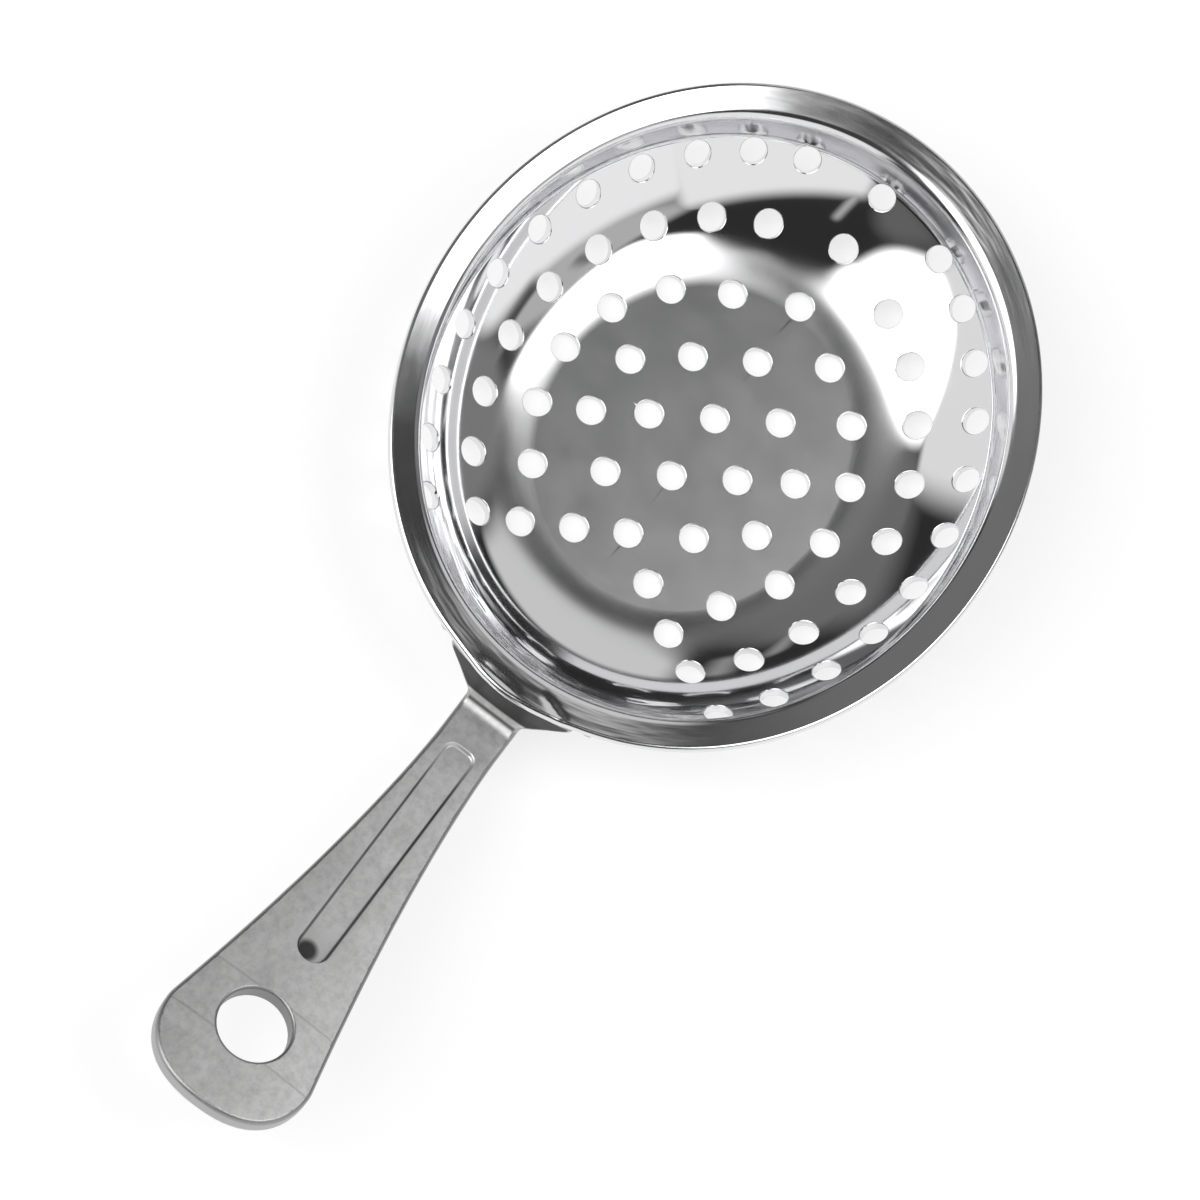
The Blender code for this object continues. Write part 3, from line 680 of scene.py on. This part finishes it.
PLATE = 3.0 * MM
FOLD_RADIUS = 1.7 * MM
HANDLE_RISE = math.radians(10.2)
HANDLE_LENGTH = 68.1 * MM
NECK_HALF_WIDTH = 4.15 * MM
NECK_LENGTH = 5.0 * MM
END_HALF_WIDTH = 11.0 * MM
END_REACH = 9.85 * MM
FLARE_POWER = 1.6
END_POWER = 2.3
HEAD_HALF_WIDTH = 9.7 * MM
HEAD_HEIGHT = 7.28 * MM
HEAD_SETBACK = 1.03 * MM
HEAD_END_HEIGHT = 1.4 * MM
HEAD_WRAP = 0.6
WING_POWER = 1.1
PLATE_EDGE_ROUND = 0.6 * MM
HANGING_HOLE_DIAMETER = 9.75 * MM
HANGING_HOLE_SETBACK = 12.75 * MM
HANGING_EDGE_ROUND = 0.45 * MM
GROOVE_WIDTH = 4.65 * MM
GROOVE_START = 6.4 * MM
GROOVE_TO_HOLE = 6.475 * MM
GROOVE_SHALLOW = 0.45 * MM
GROOVE_DEEP = 1.25 * MM
GROOVE_WALL = 0.45 * MM
GROOVE_START_CORNER = 1.5 * MM
PLATE_CROWN_RADIUS = 110.0 * MM
FOLD_X = -48.79 * MM
FOLD_Z = 8.64 * MM
OUTLINE_STEP = 0.3 * MM
CORNER_SMOOTHING = 6
HANGING_HOLE_SEGMENTS = 96

# The satin, and shares of a dark colour mixed into it, 0 for none: painted shade and a painted
# shadow, and unpolished skin on the sides and in the hanging hole.
SATIN_COLOUR = (0.86, 0.86, 0.855)
SATIN_ROUGHNESS = 0.4
SPECKLE_DEPTH = 0.016 * MM
BRUSH_DEPTH = 0.003 * MM
GRIME_AND_SHADE_COLOUR = (0.02, 0.02, 0.02)
# Painted shade: dark lines on the groove's walls, weaker towards its shallow start, a dark spot and
# a darkening towards its deep end.
GROOVE_LINE_SHADE = 0.85
GROOVE_LINE_SPREAD = 0.1
GROOVE_START_SHARE = 0.35
GROOVE_FADE = 9.0 * MM
GROOVE_END_SHADE = 0.22
DEEP_SPOT_SHADE = 0.92
DEEP_SPOT_RADIUS = 1.7 * MM
DEEP_SPOT_SETBACK = 1.7 * MM
DEEP_SPOT_ASIDE = 0.55 * MM
# Painted shade along two faint kinks across the plate.
KINK_LINES = (50.7 * MM, 58.9 * MM)
KINK_LINE_WIDTH = 0.3 * MM
KINK_LINE_SHADE = 0.3
# Painted shade in the crease of the fold.
FOLD_LINE_SHADE = 0.8
FOLD_LINE_PLACE = -0.3 * MM
FOLD_LINE_REACH = 0.7 * MM
# Painted shadow of the rim over the upper head, and painted shade on the head's back.
HEAD_SHADOW = 0.95
HEAD_SHADOW_START = 1.8 * MM
HEAD_SHADOW_FADE = 0.6 * MM
# Painted shade and dark reflection on the rounded edges.
ROLLED_EDGE_SHADE = 0.6
SIDE_GRIME = 0.5
HANGING_GRIME = 0.75
HANGING_GRIME_DEPTH = 0.1 * MM

HEAD_LEAN = math.atan(HEAD_SETBACK / HEAD_HEIGHT)
HEAD_REACH = HEAD_HEIGHT / math.cos(HEAD_LEAN)
WING_FOOT = 0.5 * FOLD_RADIUS
END_CENTRE = HANDLE_LENGTH - END_REACH
HANGING_HOLE_PLACE = HANDLE_LENGTH - HANGING_HOLE_SETBACK
GROOVE_END = HANGING_HOLE_PLACE - 0.5 * HANGING_HOLE_DIAMETER - GROOVE_TO_HOLE


def fold_path(distance):
    """Points and upper normals in the mirror plane, at distances from the fold's corner."""
    outward = np.array([-math.cos(HANDLE_RISE), math.sin(HANDLE_RISE)])
    upward = np.array([math.sin(HEAD_LEAN), math.cos(HEAD_LEAN)])
    level = np.array([math.sin(HANDLE_RISE), math.cos(HANDLE_RISE)])
    bend = math.pi - math.acos(float(outward @ upward))
    setback = FOLD_RADIUS * math.tan(0.5 * bend)
    swing = 0.5 * bend * (1.0 - np.clip(distance / setback, -1.0, 1.0))
    normal = np.stack([level[0] * np.cos(swing) - level[1] * np.sin(swing),
                       level[0] * np.sin(swing) + level[1] * np.cos(swing)], axis=-1)
    corner = np.array([FOLD_X, FOLD_Z])
    point = corner + outward * setback + level * FOLD_RADIUS - normal * FOLD_RADIUS
    point = point + outward * np.maximum(distance - setback, 0.0)[:, None]
    point = point - upward * np.minimum(distance + setback, 0.0)[:, None]
    return point, normal


def groove_inside(distance, across):
    """How far inside the groove's outline a place lies: squarish at its start, round at its end."""
    half = 0.5 * GROOVE_WIDTH
    past_end = np.maximum(distance - (GROOVE_END - half), 0.0)
    inside = half - np.hypot(past_end, across)
    before_start = np.maximum(GROOVE_START + GROOVE_START_CORNER - distance, 0.0)
    aside = np.maximum(np.abs(across) - half + GROOVE_START_CORNER, 0.0)
    return np.minimum(inside, GROOVE_START_CORNER - np.hypot(before_start, aside))


def groove_depth(distance, across):
    """How far the groove is pressed down."""
    along = smooth_step((distance - GROOVE_START) / (GROOVE_END - GROOVE_START))
    full = GROOVE_SHALLOW + (GROOVE_DEEP - GROOVE_SHALLOW) * along
    return full * smooth_step(groove_inside(distance, across) / GROOVE_WALL)


def handle_die(points):
    """Where folding and pressing take each point of the flat plate."""
    distance, across, above = points[:, 0], points[:, 1], points[:, 2]
    place, normal = fold_path(distance)
    crown = across ** 2 / (2.0 * PLATE_CROWN_RADIUS) * smooth_step(distance / NECK_LENGTH)
    place = place + normal * (above - groove_depth(distance, across) - crown)[:, None]
    wrap = -FOLD_X - np.sqrt(FOLD_X ** 2 - (across * OVAL) ** 2)
    x = place[:, 0] + wrap * smooth_step(-distance / (HEAD_WRAP * HEAD_REACH))
    return np.stack([x, across, place[:, 1]], axis=-1)


def mark_grime_and_shade(mesh):
    """Note how dark each point of the flat plate is painted: painted shade, and unpolished skin.

    Painted shade lies along the groove's walls and in its deep end, round the rolled edges, at the
    fold and along two faint kinks, and a painted shadow of the rim lies over the head; the sides
    and the hanging hole's wall are unpolished.
    """
    flat = np.empty(len(mesh.vertices) * 3, np.float32)
    mesh.vertices.foreach_get("co", flat)
    distance, across, above = flat.reshape(-1, 3).astype(float).T

    # Painted shade on the groove's walls and towards its deep end, with a dark spot there.
    inside = groove_inside(distance, across)
    wall = inside / GROOVE_WALL
    line = smooth_step(wall + GROOVE_LINE_SPREAD) * (1.0 - smooth_step(wall - GROOVE_LINE_SPREAD))
    grime_and_shade = GROOVE_LINE_SHADE * np.minimum(4.0 * line, 1.0)
    along = smooth_step((distance - GROOVE_START) / GROOVE_FADE)
    grime_and_shade = grime_and_shade * (GROOVE_START_SHARE + (1.0 - GROOVE_START_SHARE) * along)
    deep_end = np.hypot(distance - GROOVE_END + DEEP_SPOT_SETBACK, across - DEEP_SPOT_ASIDE)
    spot = 1.0 - smooth_step((deep_end - 0.55 * DEEP_SPOT_RADIUS) / (0.7 * DEEP_SPOT_RADIUS))
    grime_and_shade = np.maximum(grime_and_shade, DEEP_SPOT_SHADE * spot * (inside > 0.0))
    toward_deep_end = smooth_step((distance - GROOVE_END + GROOVE_FADE) / GROOVE_FADE)
    grime_and_shade = np.maximum(grime_and_shade, GROOVE_END_SHADE * toward_deep_end * smooth_step(wall))

    # Painted shade along two faint kinks across the plate.
    for mark in KINK_LINES:
        pressed = np.abs(distance - mark) < 0.5 * KINK_LINE_WIDTH
        grime_and_shade = np.maximum(grime_and_shade, KINK_LINE_SHADE * pressed)
    # Painted shade in the crease of the fold.
    fold_line = 1.0 - smooth_step(np.abs(distance - FOLD_LINE_PLACE) / FOLD_LINE_REACH)
    grime_and_shade = np.maximum(grime_and_shade, FOLD_LINE_SHADE * fold_line)
    # Painted shadow of the rim over the upper head.
    head = smooth_step((-distance - HEAD_SHADOW_START) / HEAD_SHADOW_FADE)
    grime_and_shade = np.maximum(grime_and_shade, HEAD_SHADOW * head)

    # Painted shade and dark reflection on the rounded edges; the sides and the hanging hole's wall
    # are unpolished.
    skin = -1e-6
    turned_over = -0.8 * PLATE_EDGE_ROUND
    rolled = (above < skin) & (above > turned_over)
    side = (above < turned_over) & (above > PLATE_EDGE_ROUND - PLATE)
    edges = np.where(rolled, ROLLED_EDGE_SHADE, np.where(side, SIDE_GRIME, 0.0))
    grime_and_shade = np.where(above > skin, grime_and_shade, edges)
    from_hole = np.hypot(distance - HANGING_HOLE_PLACE, across)
    hole_wall = from_hole < 0.5 * HANGING_HOLE_DIAMETER + 0.3 * HANGING_EDGE_ROUND
    grime_and_shade = np.where(hole_wall & (above < -HANGING_GRIME_DEPTH), HANGING_GRIME, grime_and_shade)
    # Painted shade on the head's back and edges, where it faces the bowl.
    grime_and_shade = np.where((distance < 0.0) & (above <= skin), 0.5 * HEAD_SHADOW, grime_and_shade)
    grime_and_shade = np.clip(grime_and_shade, 0.0, 1.0).astype(np.float32)
    mesh.attributes.new("grime_and_shade", "FLOAT", "POINT").data.foreach_set("value", grime_and_shade)


def half_width(distance):
    """Half the width of the flat pattern."""
    if distance < 0.0:
        wing_top = HEAD_REACH - HEAD_END_HEIGHT
        share = min(max((-distance - WING_FOOT) / (wing_top - WING_FOOT), 0.0), 1.0)
        return NECK_HALF_WIDTH + (HEAD_HALF_WIDTH - NECK_HALF_WIDTH) * share ** WING_POWER
    if distance <= END_CENTRE:
        share = max((distance - NECK_LENGTH) / (END_CENTRE - NECK_LENGTH), 0.0)
        return NECK_HALF_WIDTH + (END_HALF_WIDTH - NECK_HALF_WIDTH) * share ** FLARE_POWER
    share = min((distance - END_CENTRE) / END_REACH, 1.0)
    return END_HALF_WIDTH * (1.0 - share ** END_POWER) ** (1.0 / END_POWER)


def plate_outline():
    """Even points round the flat pattern with its corners eased, and the way out at each."""
    distances = list(np.linspace(-HEAD_REACH, END_CENTRE, 1500))
    distances += [END_CENTRE + END_REACH * math.sin(turn)
                  for turn in np.linspace(0.0, 0.5 * math.pi, 400)[1:]]
    side = [(distance, half_width(distance)) for distance in distances]
    loop = [(-HEAD_REACH, 0.0)] + side + [(along, -across) for along, across in reversed(side)]
    loop = np.array(loop + [loop[0]])
    lengths = np.concatenate([[0.0], np.cumsum(np.linalg.norm(np.diff(loop, axis=0), axis=1))])
    count = int(lengths[-1] / OUTLINE_STEP)
    places = np.arange(count) * lengths[-1] / count
    points = np.stack([np.interp(places, lengths, loop[:, axis]) for axis in range(2)], axis=-1)
    for _ in range(CORNER_SMOOTHING):
        points = 0.5 * points + 0.25 * (np.roll(points, 1, axis=0) + np.roll(points, -1, axis=0))
    ahead = np.roll(points, -1, axis=0) - np.roll(points, 1, axis=0)
    outwards = np.stack([-ahead[:, 1], ahead[:, 0]], axis=-1)
    return points, outwards / np.linalg.norm(outwards, axis=1, keepdims=True)


def rounded_edge(radius, thickness, steps=5):
    """How far in and how deep a rounded edge's points lie, from the upper skin to the lower."""
    turns = [0.5 * math.pi * step / steps for step in range(steps + 1)]
    upper = [(radius * (1.0 - math.sin(turn)), radius * (1.0 - math.cos(turn))) for turn in turns]
    upper.append((0.0, radius + 0.05 * thickness))
    return upper + [(inset, thickness - depth) for inset, depth in reversed(upper)]


def flat_plate():
    """The blanked plate with its edges rounded and its hanging hole punched."""
    points, outwards = plate_outline()
    loops = []
    for inset, depth in rounded_edge(PLATE_EDGE_ROUND, PLATE):
        ring = points - outwards * inset
        loops.append([(along, across, -depth) for along, across in ring])
    plate = lofted("stamped_handle", loops)
    radius = 0.5 * HANGING_HOLE_DIAMETER
    profile = [(radius + inset, depth) for inset, depth in rounded_edge(HANGING_EDGE_ROUND, PLATE)]
    profile = [(profile[0][0], -PLATE)] + profile + [(profile[-1][0], 2.0 * PLATE)]
    turns = np.linspace(0.0, 2.0 * math.pi, HANGING_HOLE_SEGMENTS, endpoint=False)
    loops = [[(HANGING_HOLE_PLACE + reach * math.cos(turn), reach * math.sin(turn), -depth)
              for turn in turns] for reach, depth in profile]
    punch = lofted("hanging_punch", loops)
    hole = plate.modifiers.new("hanging_hole", "BOOLEAN")
    hole.operation = "DIFFERENCE"
    hole.solver = "EXACT"
    hole.object = punch
    bake(plate)
    remove(punch)
    return plate


def slice_plate(plate):
    """Divide the flat plate finely where it will be folded, wrapped or grooved."""
    bm = bmesh.new()
    bm.from_mesh(plate.data)
    bmesh.ops.triangulate(bm, faces=bm.faces[:])
    half = 0.5 * GROOVE_WIDTH
    rows = list(np.linspace(-HEAD_REACH + 0.3 * MM, -0.5 * FOLD_RADIUS, 18))
    rows += list(np.linspace(-0.8 * FOLD_RADIUS, 1.5 * FOLD_RADIUS, 18))
    rows += list(np.linspace(GROOVE_START - 0.05 * MM, GROOVE_START + 0.6 * MM, 11))
    rows += list(np.linspace(GROOVE_START + 0.7 * MM, GROOVE_START + 2.0 * MM, 10))
    rows += list(np.linspace(GROOVE_START + 3.0 * MM, GROOVE_END - 3.0 * MM, 34))
    rows += list(np.linspace(GROOVE_END - half, GROOVE_END + 0.05 * MM, 27))
    for mark in KINK_LINES:
        rows += [mark - KINK_LINE_WIDTH, mark, mark + KINK_LINE_WIDTH]
    rows += [-1.7 * MM, 10.0 * MM, 54.0 * MM, 63.0 * MM]
    columns = list(np.linspace(half - GROOVE_WALL, half, 7))
    columns += list(np.linspace(0.15 * MM, half - GROOVE_WALL, 12, endpoint=False))
    columns += [3.2 * MM, 4.1 * MM]
    columns += list(np.linspace(5.0 * MM, 10.0 * MM, 6))
    columns = [0.0] + columns + [-place for place in columns]
    for row in rows:
        bmesh.ops.bisect_plane(bm, geom=bm.verts[:] + bm.edges[:] + bm.faces[:], dist=1e-7,
                               plane_co=(row, 0.0, 0.0), plane_no=(1.0, 0.0, 0.0))
    for column in columns:
        bmesh.ops.bisect_plane(bm, geom=bm.verts[:] + bm.edges[:] + bm.faces[:], dist=1e-7,
                               plane_co=(0.0, column, 0.0), plane_no=(0.0, 1.0, 0.0))
    bmesh.ops.triangulate(bm, faces=[face for face in bm.faces if len(face.verts) > 4])
    bm.to_mesh(plate.data)
    bm.free()


satin_steel, tree, shader = steel("satin_steel", SATIN_COLOUR, SATIN_ROUGHNESS)
place = tree.nodes.new("ShaderNodeTexCoord").outputs["Object"]
speckle = noise(tree, place, 4200.0, 3.0, 0.7)
cloud = noise(tree, place, 240.0, 3.0, 0.6)
stains = noise(tree, place, 900.0, 4.0, 0.7)
brushed = noise(tree, spread_along(tree, place, (90.0, 2600.0, 900.0)), 1.0, 3.0, 0.6)
roughness = map_range(tree, cloud, 0.3, 0.7, 0.37, 0.43)
roughness = socket_math(tree, "ADD", roughness, map_range(tree, speckle, 0.3, 0.7, -0.03, 0.03))
tree.links.new(roughness, shader.inputs["Roughness"])
grain = bump(tree, shader, speckle, SPECKLE_DEPTH)
bump(tree, shader, brushed, BRUSH_DEPTH, grain)
# The noted marks are mostly painted shade and a painted shadow; the noise adds real stains.
marks = tree.nodes.new("ShaderNodeAttribute")
marks.attribute_name = "grime_and_shade"
worn = map_range(tree, stains, 0.4, 0.8, 0.0, 0.28)
grime_and_shade = socket_math(tree, "MAXIMUM", worn, marks.outputs["Fac"])
tint = tree.nodes.new("ShaderNodeMix")
tint.data_type = "RGBA"
tint.inputs["A"].default_value = (*SATIN_COLOUR, 1.0)
tint.inputs["B"].default_value = (*GRIME_AND_SHADE_COLOUR, 1.0)
tree.links.new(grime_and_shade, tint.inputs["Factor"])
tree.links.new(tint.outputs["Result"], shader.inputs["Base Color"])

handle = flat_plate()
slice_plate(handle)
mark_grime_and_shade(handle.data)
form(handle.data, handle_die, PLATE)
handle.data.materials.clear()
handle.data.materials.append(satin_steel)
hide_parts("handle")
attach(handle, "root")


# --- Welds ------------------------------------------------------------------------------
# Four short beads of weld metal: two laid from below between the head and the bowl's wall,
# and a small lump at the end of each wing, under the rim. They are wire-brushed, not ground.
# A bead reaches a little into what it joins; the small lumps stay back from the rim's edge.

BEAD_OVERLAP = 0.4 * MM
TACK_SHRINK = 0.8
BEAD_RIPPLE = 0.05
BEAD_RIPPLE_STEP = 0.9 * MM
BEAD_SUBDIVISIONS = 5
WELD_COLOUR = (0.62, 0.61, 0.60)
WELD_HEAT_COLOUR = (0.50, 0.44, 0.38)
WELD_ROUGHNESS = 0.4
GRIT_DEPTH = 0.02 * MM

weld_steel, tree, shader = steel("weld_steel", WELD_COLOUR, WELD_ROUGHNESS)
place = tree.nodes.new("ShaderNodeTexCoord").outputs["Object"]
grit = noise(tree, place, 2600.0, 3.0, 0.7)
heat = noise(tree, place, 420.0, 2.0)
tree.links.new(map_range(tree, grit, 0.3, 0.7, 0.32, 0.5), shader.inputs["Roughness"])
tint = tree.nodes.new("ShaderNodeMix")
tint.data_type = "RGBA"
tint.inputs["A"].default_value = (*WELD_COLOUR, 1.0)
tint.inputs["B"].default_value = (*WELD_HEAT_COLOUR, 1.0)
tree.links.new(map_range(tree, heat, 0.45, 0.75), tint.inputs["Factor"])
tree.links.new(tint.outputs["Result"], shader.inputs["Base Color"])
bump(tree, shader, grit, GRIT_DEPTH)

for weld in ("root_weld_left", "root_weld_right", "tack_weld_left", "tack_weld_right"):
    low, high = (np.array(corner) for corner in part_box(weld))
    middle, half = 0.5 * (low + high), 0.5 * (high - low)
    if weld.startswith("root"):
        half = half + BEAD_OVERLAP * np.array((1.0, 0.5, 0.5))
    else:
        half = TACK_SHRINK * half
    bm = bmesh.new()
    bmesh.ops.create_icosphere(bm, subdivisions=BEAD_SUBDIVISIONS, radius=1.0)
    for vert in bm.verts:
        unit = np.array(vert.co)
        ripple = 1.0 + BEAD_RIPPLE * math.sin(2.0 * math.pi * unit[1] * half[1] / BEAD_RIPPLE_STEP)
        unit = unit * np.array((ripple, 1.0, ripple))
        vert.co = Vector(middle + half * unit)
    bead = mesh_object(weld.replace("weld", "bead"), bm)
    bead.data.shade_smooth()
    bead.data.materials.append(weld_steel)
    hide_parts(weld)
    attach(bead, "root")
